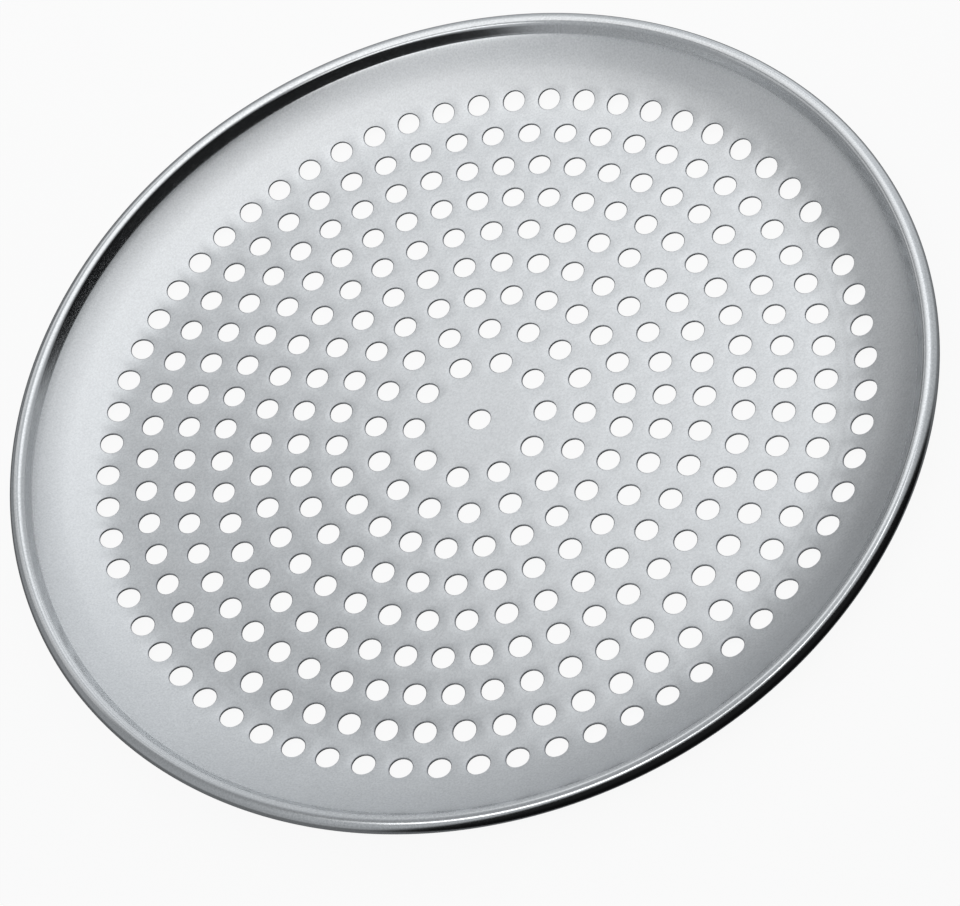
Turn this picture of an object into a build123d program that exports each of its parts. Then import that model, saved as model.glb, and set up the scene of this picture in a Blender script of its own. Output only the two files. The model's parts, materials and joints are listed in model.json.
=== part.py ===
from build123d import *
import os
from math import acos, asin, cos, degrees, radians, sin

# Perforated pizza pan: one pressed aluminium sheet whose rim is rolled round a steel wire.
# Millimetres, +Z up. The origin is the middle of the flat underside that the pan stands on.

# Whole pan
outer_diameter = 330.0  # over the rolled rim
pan_height = 16.0  # resting face to the top of the rim

# Pressed sheet
sheet_thickness = 1.0
margin_width = 32.4  # from the edge of the flat base out to the bend at the crease

# Rolled rim and the wire inside it
wire_diameter = 4.0
wire_clearance = 0.25  # between the wire and the sheet rolled round it
wire_joint_gap = 1.0  # between the butted ends of the hoop
crease_radius = 1.5  # upper face of the bend where the margin turns up into the wall
wall_slope = 60.0  # degrees above level of the short straight wall between crease and roll
wall_length = 2.4
roll_gap = 1.0  # from the rolled edge to the underside of the wall

# Punched holes: one in the middle, then evenly stepped rings
hole_diameter = 8.0
first_ring_radius = 23.5
last_ring_inset = 23.0  # from the inner side of the roll to the last ring
ring_counts = (10, 16, 24, 30, 36, 44, 50, 56, 64)
ring_start_angles = (12.3, 16.8, 9.3, 0.3, 4.3, 2.5, 5.1, 0.8, 0.0)  # first hole of each ring
pattern_offset_x = 2.1  # the holes were punched a little off the middle of the pan
pattern_offset_y = -2.0
punch_overrun = 2.0  # how far the punch passes the top and the bottom of the pan

# Places that follow from the sizes above
roll_radius = wire_diameter / 2 + wire_clearance + sheet_thickness
roll_centre_radius = outer_diameter / 2 - roll_radius
roll_centre_height = pan_height - roll_radius
bends_apart = roll_radius + crease_radius  # between the two bends' centres, square to the wall
wall_run = wall_length * cos(radians(wall_slope))
wall_rise = wall_length * sin(radians(wall_slope))
crease_centre_radius = roll_centre_radius - wall_run - bends_apart * sin(radians(wall_slope))
crease_centre_height = roll_centre_height - wall_rise + bends_apart * cos(radians(wall_slope))
flat_radius = crease_centre_radius - margin_width
last_ring_radius = roll_centre_radius - roll_radius - last_ring_inset
ring_pitch = (last_ring_radius - first_ring_radius) / (len(ring_counts) - 1)

# The margin is one arc, tangent to the flat base and to the crease, so its radius follows
# from how far out and how far up the crease lies.
margin_rise = crease_centre_height - sheet_thickness
margin_reach_squared = margin_width**2 + margin_rise**2 - crease_radius**2
margin_radius = margin_reach_squared / (2 * (margin_rise - crease_radius))
margin_slope = degrees(asin(margin_width / (margin_radius - crease_radius)))

# The sheet leaves the wall and travels round the wire until its edge comes back to within
# the gap of the wall's underside.
edge_to_wall = roll_radius - sheet_thickness - roll_gap
roll_sweep = 360 - degrees(acos(edge_to_wall / roll_radius))
wall_top_angle = 90 + wall_slope  # where the wall meets the roll, round the roll's centre

os.makedirs("parts", exist_ok=True)


def sheet_face(depth):
    """Draw one face of the sheet, from the middle out and round the wire.

    Depth is how far the face lies under the upper one. Returns the line's first and last edge.
    """
    face_height = sheet_thickness - depth
    base = Line((0, face_height), (flat_radius, face_height))
    margin_centre = (flat_radius, sheet_thickness + margin_radius)
    CenterArc(margin_centre, margin_radius + depth, -90, margin_slope)
    crease_centre = (crease_centre_radius, crease_centre_height)
    crease = CenterArc(crease_centre, crease_radius + depth, margin_slope - 90, wall_slope - margin_slope)
    roll_centre = (roll_centre_radius, roll_centre_height)
    roll = CenterArc(roll_centre, roll_radius - depth, wall_top_angle, -roll_sweep)
    Line(crease @ 1, roll @ 0)
    return base, roll


# The sheet: its section is drawn beside the axis and spun about it, then the holes are punched.
with BuildPart() as pan_body:
    with BuildSketch(Plane.XZ):
        with BuildLine():
            upper_base, upper_roll = sheet_face(0)
            lower_base, lower_roll = sheet_face(sheet_thickness)
            Line(upper_base @ 0, lower_base @ 0)
            Line(upper_roll @ 1, lower_roll @ 1)
        make_face()
    revolve(axis=Axis.Z)

    with BuildSketch(Plane.XY.offset(-punch_overrun)):
        with Locations((pattern_offset_x, pattern_offset_y)):
            Circle(hole_diameter / 2)
            for ring, (count, start_angle) in enumerate(zip(ring_counts, ring_start_angles)):
                with PolarLocations(first_ring_radius + ring * ring_pitch, count, start_angle):
                    Circle(hole_diameter / 2)
    extrude(amount=pan_height + 2 * punch_overrun, mode=Mode.SUBTRACT)

pan_body.part.label = "pan_body"
export_step(pan_body.part, "parts/pan_body.step")


# The hoop of steel wire that the rim is rolled round. Its two ends butt with a small gap.
hoop_sweep = 360 - degrees(wire_joint_gap / roll_centre_radius)
with BuildPart() as rim_wire:
    with BuildSketch(Plane.XZ):
        with Locations((roll_centre_radius, roll_centre_height)):
            Circle(wire_diameter / 2)
    revolve(axis=Axis.Z, revolution_arc=hoop_sweep)

rim_wire.part.label = "rim_wire"
export_step(rim_wire.part, "parts/rim_wire.step")
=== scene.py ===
import json
import logging
from contextlib import contextmanager
from dataclasses import dataclass, field
from enum import Enum
from math import acos, asin, atan2, cos, degrees, hypot, pi, radians, sin, sqrt
from typing import Iterator

import bmesh
import bpy
from mathutils import Matrix, Vector

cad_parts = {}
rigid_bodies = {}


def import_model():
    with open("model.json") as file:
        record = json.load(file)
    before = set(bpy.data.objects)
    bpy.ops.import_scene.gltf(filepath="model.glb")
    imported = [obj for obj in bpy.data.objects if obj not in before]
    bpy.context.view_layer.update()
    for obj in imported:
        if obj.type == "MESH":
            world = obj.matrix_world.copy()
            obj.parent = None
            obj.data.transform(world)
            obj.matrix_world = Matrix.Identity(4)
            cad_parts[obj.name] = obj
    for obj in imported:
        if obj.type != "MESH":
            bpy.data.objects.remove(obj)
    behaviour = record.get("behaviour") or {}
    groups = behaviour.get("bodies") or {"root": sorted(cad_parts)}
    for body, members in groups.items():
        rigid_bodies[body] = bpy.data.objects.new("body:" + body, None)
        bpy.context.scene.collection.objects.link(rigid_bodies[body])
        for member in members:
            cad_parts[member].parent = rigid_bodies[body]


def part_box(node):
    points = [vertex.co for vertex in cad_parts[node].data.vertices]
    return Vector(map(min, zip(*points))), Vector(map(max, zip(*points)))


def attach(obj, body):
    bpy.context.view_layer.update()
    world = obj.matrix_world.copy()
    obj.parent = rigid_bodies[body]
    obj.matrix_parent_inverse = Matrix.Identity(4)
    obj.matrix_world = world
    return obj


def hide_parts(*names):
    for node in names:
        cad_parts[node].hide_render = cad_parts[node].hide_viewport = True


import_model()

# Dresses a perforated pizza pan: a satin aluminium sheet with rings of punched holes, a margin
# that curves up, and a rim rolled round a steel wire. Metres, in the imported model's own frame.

LOG = logging.getLogger("pizza_pan")
MM = 0.001
MERGE_DISTANCE = 0.01 * MM
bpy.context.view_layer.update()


class Slot(Enum):
    """The record's material slots."""

    SHEET = "pan_sheet"
    WIRE = "wire_steel"


class Value:
    """A shader number that takes part in Python arithmetic by adding Math nodes."""

    def __init__(self, nodes: "Nodes", socket: bpy.types.NodeSocket) -> None:
        """Wrap one output socket.

        Args:
            nodes: The tree that the socket belongs to.
            socket: The output that carries the number, or a vector that is only passed on.
        """
        self.nodes = nodes
        self.socket = socket

    def _maths(self, operation: str, first: "Value | float", second: "Value | float") -> "Value":
        """Add one Math node and return its result."""
        node = self.nodes.add("ShaderNodeMath", {"operation": operation}, {0: first, 1: second})
        return self.nodes.value(node)

    def __add__(self, other: "Value | float") -> "Value":
        """Return self + other."""
        return self._maths("ADD", self, other)

    __radd__ = __add__

    def __mul__(self, other: "Value | float") -> "Value":
        """Return self * other."""
        return self._maths("MULTIPLY", self, other)

    __rmul__ = __mul__

    def __sub__(self, other: "Value | float") -> "Value":
        """Return self - other."""
        return self._maths("SUBTRACT", self, other)

    def __rsub__(self, other: float) -> "Value":
        """Return other - self."""
        return self._maths("SUBTRACT", other, self)


class Nodes:
    """The node tree of one material or world."""

    def __init__(self, tree: bpy.types.NodeTree) -> None:
        """Empty the tree.

        Args:
            tree: The node tree to build in.
        """
        self.tree = tree
        tree.nodes.clear()

    def add(self, kind: str, settings: dict | None = None, sockets: dict | None = None) -> bpy.types.Node:
        """Add a node.

        Args:
            kind: The node's Blender type.
            settings: Its properties, set before its sockets.
            sockets: Numbers, colours, nodes or Values for its inputs, by name or index.

        Returns:
            The new node.
        """
        node = self.tree.nodes.new(kind)
        for name, setting in (settings or {}).items():
            setattr(node, name, setting)
        for name, given in (sockets or {}).items():
            if isinstance(given, Value):
                self.tree.links.new(given.socket, node.inputs[name])
            elif isinstance(given, bpy.types.Node):
                self.tree.links.new(given.outputs[0], node.inputs[name])
            else:
                node.inputs[name].default_value = given
        return node

    def value(self, node: bpy.types.Node, output: str | int = 0) -> Value:
        """Wrap a node's output for arithmetic."""
        return Value(self, node.outputs[output])

    def between(self, number: Value, low: float, high: float, start: float, end: float) -> Value:
        """Turn a number smoothly from one value to another.

        Args:
            number: What decides.
            low: Where the turn begins.
            high: Where the turn ends.
            start: The result at and before low.
            end: The result at and past high.

        Returns:
            The smoothed result.
        """
        sockets = {"Value": number, "From Min": low, "From Max": high, "To Min": start, "To Max": end}
        node = self.add("ShaderNodeMapRange", {"interpolation_type": "SMOOTHSTEP"}, sockets)
        return self.value(node)

    def blend(self, factor: Value, first: tuple, second: tuple) -> bpy.types.Node:
        """Mix two colours by a number. The result is the node's third output."""
        sockets = {0: factor, 6: (*first, 1.0), 7: (*second, 1.0)}
        return self.add("ShaderNodeMix", {"data_type": "RGBA"}, sockets)

    def place(self) -> Value:
        """Read the Object coordinates, as a vector."""
        return self.value(self.add("ShaderNodeTexCoord"), "Object")

    def axis_distance_and_height(self, place: Value) -> tuple[Value, Value]:
        """Work out where a point lies from the pan's axis.

        Args:
            place: The Object coordinates.

        Returns:
            The distance from the pan's axis and the height.
        """
        flat = self.add("ShaderNodeVectorMath", {"operation": "MULTIPLY"}, {0: place, 1: (1, 1, 0)})
        length = self.add("ShaderNodeVectorMath", {"operation": "LENGTH"}, {0: flat})
        parts = self.add("ShaderNodeSeparateXYZ", None, {0: place})
        return self.value(length, "Value"), self.value(parts, "Z")


@dataclass(frozen=True)
class SatinAluminium:
    """Bare rolled aluminium: a fine satin grain, burnished in rings where the rim was rolled."""

    light: tuple = (0.930, 0.942, 0.951)
    dark: tuple = (0.760, 0.772, 0.781)
    sheet_roughness: float = 0.35
    rim_roughness: float = 0.17
    roughness_spread: float = 0.06
    grain_scale: float = 1500.0  # per metre
    grain_detail: float = 3.0
    grain_fineness: float = 0.6  # how strong each finer layer of the grain is
    grain_height: float = 0.012 * MM
    grain_share: float = 2.6  # how much of the mottle is grain, and how much is soft clouds
    cloud_share: float = 0.45
    cloud_scale: float = 45.0
    cloud_detail: float = 4.0
    ring_mark_scale: float = 900.0
    ring_mark_detail: float = 2.0
    ring_mark_height: float = 0.006 * MM
    rim_start: float = 156.0 * MM
    rim_full: float = 158.2 * MM

    def material(self, name: str) -> bpy.types.Material:
        """Make the material.

        Args:
            name: The material's name.

        Returns:
            The material.
        """
        material = bpy.data.materials.new(name)
        material.use_nodes = True
        nodes = Nodes(material.node_tree)
        place = nodes.place()
        axis_distance, height = nodes.axis_distance_and_height(place)
        on_rim = nodes.between(axis_distance, self.rim_start, self.rim_full, 0.0, 1.0)

        grain = nodes.value(nodes.add(
            "ShaderNodeTexNoise", None,
            {
                "Vector": place, "Scale": self.grain_scale,
                "Detail": self.grain_detail, "Roughness": self.grain_fineness,
            },
        ))
        clouds = nodes.value(nodes.add(
            "ShaderNodeTexNoise", None,
            {"Vector": place, "Scale": self.cloud_scale, "Detail": self.cloud_detail},
        ))
        rings_at = nodes.add("ShaderNodeCombineXYZ", None, {"X": axis_distance, "Y": height})
        ring_marks = nodes.value(nodes.add(
            "ShaderNodeTexNoise", None,
            {"Vector": rings_at, "Scale": self.ring_mark_scale, "Detail": self.ring_mark_detail},
        ))

        middle = (self.grain_share + self.cloud_share - 1.0) / 2
        mottle = grain * self.grain_share + clouds * self.cloud_share - middle
        colour = nodes.blend(mottle, self.dark, self.light)
        spread = (grain + clouds - 1.0) * self.roughness_spread
        roughness = (1.0 - on_rim) * self.sheet_roughness + on_rim * self.rim_roughness + spread
        surface = grain * self.grain_height * (1.0 - on_rim) + ring_marks * on_rim * self.ring_mark_height
        bump = nodes.add("ShaderNodeBump", None, {"Height": surface, "Distance": 1.0, "Strength": 1.0})
        shader = nodes.add("ShaderNodeBsdfPrincipled", None, {
            "Base Color": nodes.value(colour, 2),
            "Metallic": 1.0,
            "Roughness": roughness,
            "Normal": bump,
        })
        nodes.add("ShaderNodeOutputMaterial", None, {"Surface": shader})
        return material


@dataclass(frozen=True)
class PunchedEdgeAndShade:
    """The sheared walls and eased edges of the holes: duller metal, and painted shade that darkens them
    inside the holes.
    """

    # dark and light: partly the duller sheared metal, partly painted shade in the holes
    light: tuple = (0.60, 0.61, 0.63)
    dark: tuple = (0.42, 0.43, 0.45)
    roughness: float = 0.45
    tear_scale: float = 1800.0
    tear_detail: float = 2.0
    tear_height: float = 0.01 * MM

    def material(self, name: str) -> bpy.types.Material:
        """Make the material.

        Args:
            name: The material's name.

        Returns:
            The material.
        """
        material = bpy.data.materials.new(name)
        material.use_nodes = True
        nodes = Nodes(material.node_tree)
        place = nodes.place()
        tears = nodes.value(nodes.add(
            "ShaderNodeTexNoise", None,
            {"Vector": place, "Scale": self.tear_scale, "Detail": self.tear_detail},
        ))
        colour = nodes.blend(tears, self.dark, self.light)
        bump = nodes.add("ShaderNodeBump", None, {"Height": tears * self.tear_height, "Distance": 1.0})
        shader = nodes.add("ShaderNodeBsdfPrincipled", None, {
            "Base Color": nodes.value(colour, 2),
            "Metallic": 1.0,
            "Roughness": self.roughness,
            "Normal": bump,
        })
        nodes.add("ShaderNodeOutputMaterial", None, {"Surface": shader})
        return material


@dataclass(frozen=True)
class DrawnSteel:
    """Plain drawn steel wire, with faint lines along it."""

    light: tuple = (0.60, 0.60, 0.61)
    dark: tuple = (0.47, 0.47, 0.48)
    roughness: float = 0.34
    line_scale: float = 2600.0
    line_detail: float = 2.0
    line_height: float = 0.01 * MM

    def material(self, name: str) -> bpy.types.Material:
        """Make the material.

        Args:
            name: The material's name.

        Returns:
            The material.
        """
        material = bpy.data.materials.new(name)
        material.use_nodes = True
        nodes = Nodes(material.node_tree)
        axis_distance, height = nodes.axis_distance_and_height(nodes.place())
        section = nodes.add("ShaderNodeCombineXYZ", None, {"X": axis_distance, "Y": height})
        lines = nodes.value(nodes.add(
            "ShaderNodeTexNoise", None,
            {"Vector": section, "Scale": self.line_scale, "Detail": self.line_detail},
        ))
        colour = nodes.blend(lines, self.dark, self.light)
        bump = nodes.add("ShaderNodeBump", None, {"Height": lines * self.line_height, "Distance": 1.0})
        shader = nodes.add("ShaderNodeBsdfPrincipled", None, {
            "Base Color": nodes.value(colour, 2),
            "Metallic": 1.0,
            "Roughness": self.roughness,
            "Normal": bump,
        })
        nodes.add("ShaderNodeOutputMaterial", None, {"Surface": shader})
        return material


@contextmanager
def editing(piece: bpy.types.Object) -> Iterator[None]:
    """Work in edit mode on one object, with nothing selected at the start.

    Args:
        piece: The object to edit.
    """
    bpy.ops.object.select_all(action="DESELECT")
    bpy.context.view_layer.objects.active = piece
    piece.select_set(True)
    bpy.ops.object.mode_set(mode="EDIT")
    bpy.ops.mesh.select_mode(type="EDGE")
    bpy.ops.mesh.select_all(action="DESELECT")
    yield
    bpy.ops.object.mode_set(mode="OBJECT")


def empty_piece(name: str) -> bpy.types.Object:
    """Return a new mesh object with nothing in it yet, at the origin."""
    piece = bpy.data.objects.new(name, bpy.data.meshes.new(name))
    bpy.context.scene.collection.objects.link(piece)
    return piece


def apply_modifier(piece: bpy.types.Object, kind: str, settings: dict) -> None:
    """Add one modifier and apply it.

    Args:
        piece: The object that takes it.
        kind: The modifier's Blender type.
        settings: Its properties.
    """
    modifier = piece.modifiers.new(kind.title(), kind)
    for name, setting in settings.items():
        setattr(modifier, name, setting)
    bpy.ops.object.select_all(action="DESELECT")
    bpy.context.view_layer.objects.active = piece
    piece.select_set(True)
    bpy.ops.object.modifier_apply(modifier=modifier.name)


@dataclass
class PanSheet:
    """The pressed sheet: perforated base, curved margin, crease and rolled rim, in one piece."""

    body: str = "root"
    node: str = "pan_body"
    thickness: float = 1.0 * MM
    margin_width: float = 32.4 * MM
    wire_diameter: float = 4.0 * MM
    wire_clearance: float = 0.25 * MM
    crease_radius: float = 1.5 * MM
    wall_slope: float = radians(60)
    wall_length: float = 2.4 * MM
    roll_gap: float = 1.0 * MM
    hole_diameter: float = 8.0 * MM
    first_ring_radius: float = 23.5 * MM
    last_ring_inset: float = 23.0 * MM
    ring_counts: tuple = (10, 16, 24, 30, 36, 44, 50, 56, 64)
    ring_start_angles: tuple = (12.3, 16.8, 9.3, 0.3, 4.3, 2.5, 5.1, 0.8, 0.0)
    pattern_x: float = 2.1 * MM
    pattern_y: float = -2.0 * MM
    seam_width: float = 1.6 * MM  # between one ring's cells and the next ring's
    plain_margin_start: float = 146.0 * MM
    punched_edge_radius: float = 0.3 * MM
    punched_edge_angle: float = radians(55)  # edges sharper than this are eased
    face_weight: int = 100  # the modifier's setting at which large faces rule the shading
    steepest_face: float = 0.85  # upward part of a face's normal, under which it is a hole's wall
    hole_sides: int = 24
    margin_steps: int = 5
    crease_steps: int = 3
    roll_steps: int = 24
    finish: SatinAluminium = field(default_factory=SatinAluminium)
    # the holes' walls and eased edges: duller metal with painted shade
    edge_finish_and_shade: PunchedEdgeAndShade = field(default_factory=PunchedEdgeAndShade)

    def __post_init__(self) -> None:
        """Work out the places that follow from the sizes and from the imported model's box."""
        low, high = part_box(self.node)
        self.cell_sides = self.hole_sides // 4
        self.round_sides = self.ring_counts[-1] * self.cell_sides
        self.roll_radius = self.wire_diameter / 2 + self.wire_clearance + self.thickness
        self.roll_centre = (high.x - self.roll_radius, high.z - self.roll_radius)
        wall_out, wall_up = cos(self.wall_slope), sin(self.wall_slope)
        bends_apart = self.roll_radius + self.crease_radius
        self.crease_centre = (
            self.roll_centre[0] - self.wall_length * wall_out - bends_apart * wall_up,
            self.roll_centre[1] - self.wall_length * wall_up + bends_apart * wall_out,
        )
        self.flat_radius = self.crease_centre[0] - self.margin_width
        last_ring = self.roll_centre[0] - self.roll_radius - self.last_ring_inset
        self.ring_step = (last_ring - self.first_ring_radius) / (len(self.ring_counts) - 1)
        self.cell_depth = (self.ring_step - self.seam_width) / 2
        rise = self.roll_centre[1] - self.thickness
        reach_squared = self.margin_width**2 + rise**2 - self.crease_radius**2
        self.margin_radius = reach_squared / (2 * (rise - self.crease_radius))
        self.margin_sweep = asin(self.margin_width / (self.margin_radius - self.crease_radius))
        edge_to_wall = self.roll_radius - self.thickness - self.roll_gap
        self.roll_sweep = 2 * pi - acos(edge_to_wall / self.roll_radius)

    def face_height(self, radius: float) -> float:
        """Return the height of the upper face of the base or margin at a distance from the axis."""
        out = max(0.0, radius - self.flat_radius)
        return self.thickness + self.margin_radius - sqrt(self.margin_radius**2 - out**2)

    def rim_section(self) -> list[tuple[float, float]]:
        """Return the upper face from the plain margin round the roll, as radius and height."""
        start = asin((self.plain_margin_start - self.flat_radius) / self.margin_radius)
        points = []
        for step in range(self.margin_steps + 1):
            slope = start + (self.margin_sweep - start) * step / self.margin_steps
            out = self.flat_radius + self.margin_radius * sin(slope)
            points.append((out, self.thickness + self.margin_radius * (1 - cos(slope))))
        for step in range(1, self.crease_steps + 1):
            slope = self.margin_sweep + (self.wall_slope - self.margin_sweep) * step / self.crease_steps
            out = self.crease_centre[0] + self.crease_radius * sin(slope)
            points.append((out, self.crease_centre[1] - self.crease_radius * cos(slope)))
        for step in range(self.roll_steps + 1):
            turn = pi / 2 - self.wall_slope + self.roll_sweep * step / self.roll_steps
            out = self.roll_centre[0] - self.roll_radius * cos(turn)
            points.append((out, self.roll_centre[1] + self.roll_radius * sin(turn)))
        return points

    def cell_corner(
        self, bearing: float, ring_radius: float, start: float, pitch: float
    ) -> tuple[float, float]:
        """Place one point of a cell's outline, which is a sector of its ring.

        Args:
            bearing: The point's direction from the hole, from 0 at outwards, in radians.
            ring_radius: The hole's distance from the pattern's centre.
            start: The hole's own angle round the pattern.
            pitch: The angle between two holes of the ring.

        Returns:
            The point's x and y.
        """
        side, along = divmod(bearing + pi / 4, pi / 2)
        share = 4 * along / pi - 1
        out_share, round_share = ((1, share), (-share, 1), (-1, -share), (share, -1))[int(side) % 4]
        out = ring_radius + out_share * self.cell_depth
        turn = start + round_share * pitch / 2
        return self.pattern_x + out * cos(turn), self.pattern_y + out * sin(turn)

    def add_ring(self, piece: bpy.types.Object, ring_radius: float, count: int, start: float) -> None:
        """Model one cell round one hole and repeat it round the ring.

        Args:
            piece: The mesh object, in edit mode.
            ring_radius: The holes' distance from the pattern's centre.
            count: How many holes the ring has.
            start: The angle of its first hole, in radians.
        """
        pitch = 2 * pi / count
        middle = Vector((
            self.pattern_x + ring_radius * cos(start),
            self.pattern_y + ring_radius * sin(start),
        ))
        bpy.ops.mesh.select_all(action="DESELECT")
        bpy.ops.mesh.primitive_circle_add(
            vertices=self.hole_sides, radius=self.hole_diameter / 2,
            location=(*middle, self.thickness), rotation=(0, 0, start),
        )
        bpy.ops.mesh.extrude_region_move()
        mesh = bmesh.from_edit_mesh(piece.data)
        for corner in [v for v in mesh.verts if v.select]:
            away = corner.co.xy - middle
            bearing = round(degrees(atan2(away.y, away.x) - start)) % 360
            corner.co.x, corner.co.y = self.cell_corner(radians(bearing), ring_radius, start, pitch)
        bmesh.update_edit_mesh(piece.data)
        bpy.ops.mesh.select_linked()
        bpy.ops.mesh.spin(
            steps=count - 1, dupli=True, angle=pitch * (count - 1),
            center=(self.pattern_x, self.pattern_y, 0), axis=(0, 0, 1),
        )

    def bridge(self, piece: bpy.types.Object, loops: list[tuple[float, float, float]]) -> None:
        """Join two open round edges with a strip of faces.

        Args:
            piece: The mesh object, in edit mode.
            loops: Each edge's centre x, centre y and radius.
        """
        bpy.ops.mesh.select_all(action="DESELECT")
        mesh = bmesh.from_edit_mesh(piece.data)
        for edge in mesh.edges:
            if not (edge.is_boundary or edge.is_wire):
                continue
            for x, y, radius in loops:
                if all(abs(hypot(v.co.x - x, v.co.y - y) - radius) < MERGE_DISTANCE for v in edge.verts):
                    edge.select_set(True)
        bmesh.update_edit_mesh(piece.data)
        bpy.ops.mesh.bridge_edge_loops()

    def perforate(self, piece: bpy.types.Object) -> None:
        """Lay out the flat sheet round its holes, then lift what lies on the margin."""
        centre = (self.pattern_x, self.pattern_y)
        bpy.ops.mesh.primitive_circle_add(
            vertices=self.hole_sides, radius=self.hole_diameter / 2, location=(*centre, self.thickness)
        )
        radii = [self.first_ring_radius + k * self.ring_step for k in range(len(self.ring_counts))]
        for ring_radius, count, start in zip(radii, self.ring_counts, self.ring_start_angles):
            self.add_ring(piece, ring_radius, count, radians(start))
        bpy.ops.mesh.select_all(action="SELECT")
        bpy.ops.mesh.remove_doubles(threshold=MERGE_DISTANCE)
        bpy.ops.mesh.select_all(action="DESELECT")
        bpy.ops.mesh.primitive_circle_add(
            vertices=self.round_sides, radius=self.plain_margin_start, location=(0, 0, self.thickness)
        )
        inner = self.hole_diameter / 2
        for ring_radius in radii:
            self.bridge(piece, [(*centre, inner), (*centre, ring_radius - self.cell_depth)])
            inner = ring_radius + self.cell_depth
        self.bridge(piece, [(*centre, inner), (0, 0, self.plain_margin_start)])
        mesh = bmesh.from_edit_mesh(piece.data)
        for point in mesh.verts:
            point.co.z = self.face_height(hypot(point.co.x, point.co.y))
        bmesh.update_edit_mesh(piece.data)

    def roll_rim(self, piece: bpy.types.Object) -> None:
        """Draw the plain margin out from the perforated part and roll its edge over."""
        bpy.ops.mesh.select_all(action="DESELECT")
        mesh = bmesh.from_edit_mesh(piece.data)
        for edge in mesh.edges:
            if edge.is_boundary and all(
                abs(hypot(v.co.x, v.co.y) - self.plain_margin_start) < MERGE_DISTANCE for v in edge.verts
            ):
                edge.select_set(True)
        bmesh.update_edit_mesh(piece.data)
        section = self.rim_section()
        for (radius, height), (next_radius, next_height) in zip(section, section[1:]):
            grow = next_radius / radius
            bpy.ops.mesh.extrude_region_move(
                TRANSFORM_OT_translate={"value": (0, 0, next_height - height)}
            )
            bpy.ops.transform.resize(value=(grow, grow, 1), center_override=(0, 0, 0))

    def face_up(self, piece: bpy.types.Object) -> None:
        """Turn every face the same way, with the base facing up."""
        bpy.ops.mesh.select_all(action="SELECT")
        bpy.ops.mesh.normals_make_consistent(inside=False)
        mesh = bmesh.from_edit_mesh(piece.data)
        lift = sum(f.normal.z for f in mesh.faces if f.calc_center_median().xy.length < self.flat_radius)
        if lift < 0:
            bpy.ops.mesh.flip_normals()

    def dress(self, piece: bpy.types.Object) -> None:
        """Give the faces their satin finish, and the holes' walls and eased edges a darker one that is partly
        painted shade.
        """
        piece.data.materials.append(self.finish.material("satin_aluminium"))
        piece.data.materials.append(self.edge_finish_and_shade.material("punched_edge"))
        # the holes' walls and eased edges take the darker material, which is partly painted shade
        for face in piece.data.polygons:
            if face.center.xy.length < self.plain_margin_start and abs(face.normal.z) < self.steepest_face:
                face.material_index = 1

    def build(self) -> bpy.types.Object:
        """Model the sheet, thicken it, ease its punched edges and dress it.

        Returns:
            The finished piece.
        """
        piece = empty_piece("pan_sheet")
        with editing(piece):
            self.perforate(piece)
            self.roll_rim(piece)
            self.face_up(piece)
        apply_modifier(piece, "SOLIDIFY", {
            "thickness": self.thickness, "offset": -1.0, "use_even_offset": True, "use_rim": True,
        })
        apply_modifier(piece, "BEVEL", {
            "width": self.punched_edge_radius, "segments": 1, "limit_method": "ANGLE",
            "angle_limit": self.punched_edge_angle,
        })
        bpy.ops.object.shade_smooth()
        apply_modifier(piece, "WEIGHTED_NORMAL", {"mode": "FACE_AREA", "weight": self.face_weight})
        self.dress(piece)
        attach(piece, self.body)
        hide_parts(self.node)
        return piece


@dataclass
class RimWire:
    """The hoop of wire inside the roll, which shows from below at the rolled edge."""

    sheet: PanSheet
    body: str = "root"
    node: str = "rim_wire"
    joint_gap: float = 1.0 * MM
    wire_sides: int = 20
    hoop_steps: int = 240
    smooth_angle: float = radians(40)
    finish: DrawnSteel = field(default_factory=DrawnSteel)

    def build(self) -> bpy.types.Object:
        """Spin the wire's round section about the pan's axis and dress it.

        Returns:
            The finished piece.
        """
        radius, height = self.sheet.roll_centre
        piece = empty_piece("wire_hoop")
        with editing(piece):
            bpy.ops.mesh.primitive_circle_add(
                vertices=self.wire_sides, radius=self.sheet.wire_diameter / 2, fill_type="NGON",
                location=(radius, 0, height), rotation=(pi / 2, 0, 0),
            )
            bpy.ops.mesh.spin(
                steps=self.hoop_steps, angle=2 * pi - self.joint_gap / radius,
                center=(0, 0, 0), axis=(0, 0, 1),
            )
            bpy.ops.mesh.select_all(action="SELECT")
            bpy.ops.mesh.remove_doubles(threshold=MERGE_DISTANCE)
            bpy.ops.mesh.normals_make_consistent(inside=False)
        bpy.ops.object.shade_smooth_by_angle(angle=self.smooth_angle)
        piece.data.materials.append(self.finish.material("drawn_steel"))
        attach(piece, self.body)
        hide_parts(self.node)
        return piece


@dataclass(frozen=True)
class Softbox:
    """A rectangular lamp."""

    name: str
    middle: tuple
    aim: tuple
    width: float
    depth: float
    radiance: float
    spread: float = pi

    def place(self) -> bpy.types.Object:
        """Add the lamp, out of the camera's sight.

        Returns:
            The lamp's object.
        """
        lamp = bpy.data.lights.new(self.name, "AREA")
        lamp.shape = "RECTANGLE"
        lamp.size = self.width
        lamp.size_y = self.depth
        lamp.spread = self.spread
        lamp.energy = self.radiance * pi * self.width * self.depth
        holder = bpy.data.objects.new(self.name, lamp)
        bpy.context.scene.collection.objects.link(holder)
        holder.location = self.middle
        holder.rotation_euler = (Vector(self.aim) - Vector(self.middle)).to_track_quat("-Z", "Y").to_euler()
        holder.visible_camera = False
        return holder


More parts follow.
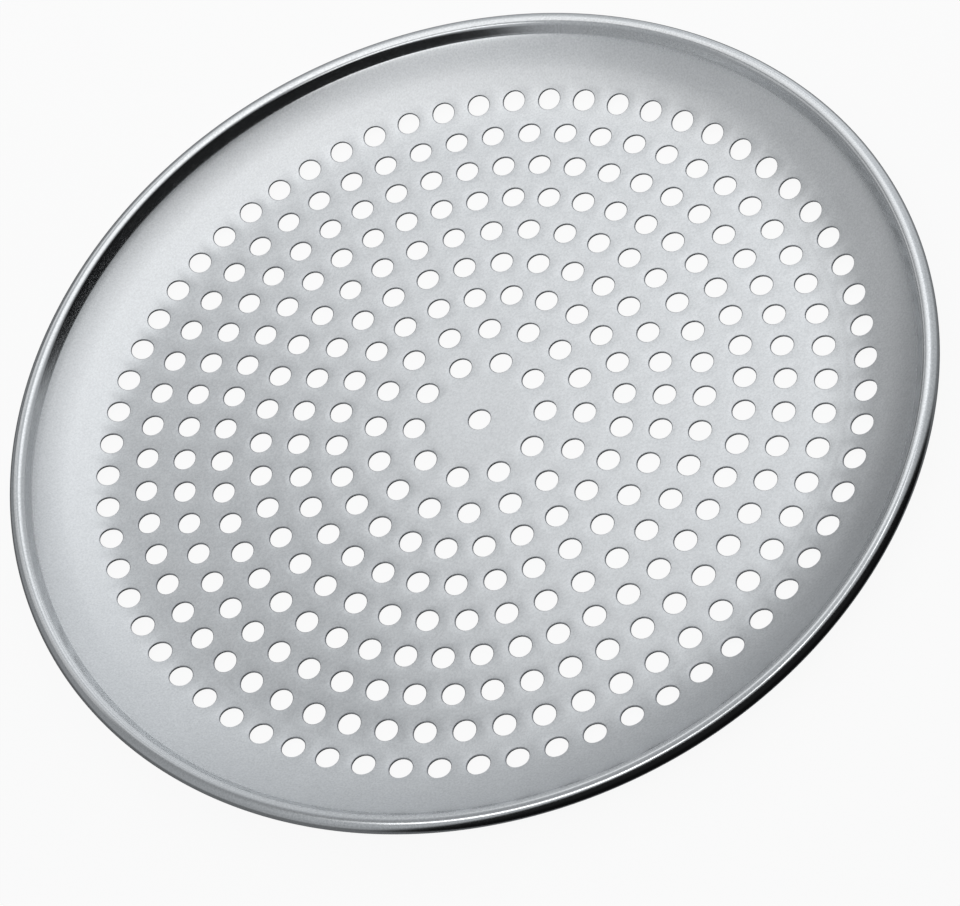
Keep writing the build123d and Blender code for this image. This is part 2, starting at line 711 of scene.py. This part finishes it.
@dataclass(frozen=True)
class Glow:
    """Light, or shade where its strength is negative, that comes in towards one side of the room."""

    side: tuple
    start: float  # the cosine of the angle from the side, like full
    full: float
    strength: float

    def level(self, nodes: Nodes, direction: Value) -> Value:
        """Work out how much of it there is.

        Args:
            nodes: The nodes of the room.
            direction: The direction looked in.

        Returns:
            The level, from zero to its strength.
        """
        along = nodes.add("ShaderNodeVectorMath", {"operation": "DOT_PRODUCT"}, {0: direction, 1: self.side})
        return nodes.between(nodes.value(along, "Value"), self.start, self.full, 0.0, self.strength)


@dataclass
class Studio:
    """Pale floor, soft lamps, surroundings and the camera."""

    floor_size: float = 6.0
    floor_drop: float = 0.05 * MM
    floor_colour: tuple = (0.86, 0.86, 0.87)
    shadow_share: float = 0.07  # how much of the floor's own shading the camera sees
    room_colour: tuple = (0.93, 0.965, 1.0)
    room_light: float = 0.34
    room_glows: tuple = (
        Glow((0.67, 0.67, 0.32), 0.3, 0.95, 0.42),
        Glow((-0.5, -0.45, 0.75), 0.8, 0.97, 0.08),
        Glow((0.95, 0.0, 0.3), 0.7, 0.95, -0.21),
        Glow((0.0, 0.95, 0.3), 0.8, 0.97, -0.16),
        Glow((0.0, 1.0, 0.0), -0.1, 0.6, -0.08),
    )
    camera_side_shade: Glow = Glow((0.3, -0.93, -0.2), 0.30, 0.48, 0.97)
    low_shade: Glow = Glow((0.0, 0.0, -1.0), 0.0, 0.3, 0.55)
    softboxes: tuple = (
        Softbox("overhead_softbox", (0.15, 0.32, 0.35), (0.15, 0.32, 0.0), 0.40, 0.55, 0.285, radians(110)),
        Softbox("far_softbox", (0.05, 0.55, 0.35), (0.05, 0.55, 0.0), 0.90, 0.25, 0.37),
        Softbox("far_left_softbox", (-0.30, 0.35, 0.35), (-0.30, 0.35, 0.0), 0.30, 0.40, 0.22),
        Softbox("near_left_softbox", (-0.27, -0.42, 0.87), (0.0, 0.0, 0.0), 0.62, 0.22, 1.00),
    )
    strip_bearings: tuple = (225, 255, 285, 315, 345)
    strip_radiances: tuple = (0.06, 0.06, 0.10, 0.12, 0.12)
    strip_radius: float = 223 * MM
    strip_height: float = 200 * MM
    strip_aim_radius: float = 163 * MM
    strip_width: float = 160 * MM
    strip_depth: float = 30 * MM
    strip_spread: float = radians(50)
    lens: float = 150.93
    camera_distance: float = 1379.7 * MM
    camera_tilt: float = radians(35.96)
    camera_turn: float = radians(0.13)
    camera_roll: float = radians(27.27)
    aim: tuple = (-2.99 * MM, -14.85 * MM, 1.0 * MM)

    def camera(self) -> None:
        """Set the camera where the picture was taken from."""
        data = bpy.data.cameras.new("camera")
        data.lens = self.lens
        camera = bpy.data.objects.new("camera", data)
        bpy.context.scene.collection.objects.link(camera)
        camera.matrix_world = (
            Matrix.Translation(self.aim)
            @ Matrix.Rotation(self.camera_turn, 4, "Z")
            @ Matrix.Rotation(self.camera_tilt, 4, "X")
            @ Matrix.Rotation(-self.camera_roll, 4, "Z")
            @ Matrix.Translation((0, 0, self.camera_distance))
        )
        bpy.context.scene.camera = camera

    def floor(self) -> None:
        """Lay the pale floor: white to the camera, with a faint shadow, and clear to the metal."""
        bpy.ops.object.select_all(action="DESELECT")
        bpy.ops.mesh.primitive_plane_add(size=self.floor_size, location=(0, 0, -self.floor_drop))
        floor = bpy.context.active_object
        floor.name = "floor"
        material = bpy.data.materials.new("pale_floor")
        material.use_nodes = True
        nodes = Nodes(material.node_tree)
        path = nodes.add("ShaderNodeLightPath")
        to_camera = nodes.value(path, "Is Camera Ray")
        to_metal = nodes.value(path, "Is Glossy Ray") + nodes.value(path, "Is Shadow Ray")
        white = nodes.add("ShaderNodeEmission", None, {"Strength": 1.0})
        matt = nodes.add("ShaderNodeBsdfDiffuse", None, {"Color": (*self.floor_colour, 1.0)})
        share = to_camera * (1.0 - self.shadow_share)
        face = nodes.add("ShaderNodeMixShader", None, {0: share, 1: matt, 2: white})
        clear = nodes.add("ShaderNodeBsdfTransparent")
        behind = nodes.value(nodes.add("ShaderNodeNewGeometry"), "Backfacing")
        both = nodes.add("ShaderNodeMixShader", None, {0: behind + to_metal, 1: face, 2: clear})
        nodes.add("ShaderNodeOutputMaterial", None, {"Surface": both})
        floor.data.materials.append(material)

    def surroundings(self) -> None:
        """Light the scene from all round: white to the camera, soft elsewhere, dark low and near."""
        world = bpy.data.worlds.new("surroundings")
        bpy.context.scene.world = world
        world.use_nodes = True
        nodes = Nodes(world.node_tree)
        to_camera = nodes.value(nodes.add("ShaderNodeLightPath"), "Is Camera Ray")
        direction = nodes.value(nodes.add("ShaderNodeTexCoord"), "Generated")
        light = self.room_light
        for patch in self.room_glows:
            light = patch.level(nodes, direction) + light
        for shade in (self.camera_side_shade, self.low_shade):
            light = light * (1.0 - shade.level(nodes, direction))
        black = nodes.add("ShaderNodeBackground", None, {"Strength": 0.0})
        tinted = nodes.add("ShaderNodeBackground", None, {"Color": (*self.room_colour, 1.0), "Strength": 1.0})
        white = nodes.add("ShaderNodeBackground", None, {"Color": (1.0, 1.0, 1.0, 1.0), "Strength": 1.0})
        room = nodes.add("ShaderNodeMixShader", None, {0: light, 1: black, 2: tinted})
        sky = nodes.add("ShaderNodeMixShader", None, {0: to_camera, 1: room, 2: white})
        nodes.add("ShaderNodeOutputWorld", None, {"Surface": sky})

    def lamps(self) -> None:
        """Hang the softboxes, and the strips that draw a line of light on the near rim."""
        for softbox in self.softboxes:
            softbox.place()
        for bearing, radiance in zip(self.strip_bearings, self.strip_radiances):
            out = Vector((cos(radians(bearing)), sin(radians(bearing)), 0.0))
            middle = out * self.strip_radius + Vector((0, 0, self.strip_height))
            Softbox(
                f"strip_{bearing}", tuple(middle), tuple(out * self.strip_aim_radius),
                self.strip_width, self.strip_depth, radiance, self.strip_spread,
            ).place()

    def build(self) -> None:
        """Set up the whole studio."""
        self.camera()
        self.floor()
        self.surroundings()
        self.lamps()
        bpy.context.scene.view_settings.view_transform = "Standard"


def main() -> None:
    """Build the pan and the studio round it."""
    logging.basicConfig(level=logging.INFO, format="%(name)s: %(message)s")
    sheet = PanSheet()
    for builder in (sheet, RimWire(sheet)):
        piece = builder.build()
        LOG.info("%s: %d faces, stands for %s", piece.name, len(piece.data.polygons), builder.node)
    Studio().build()


if __name__ == "__main__":
    main()
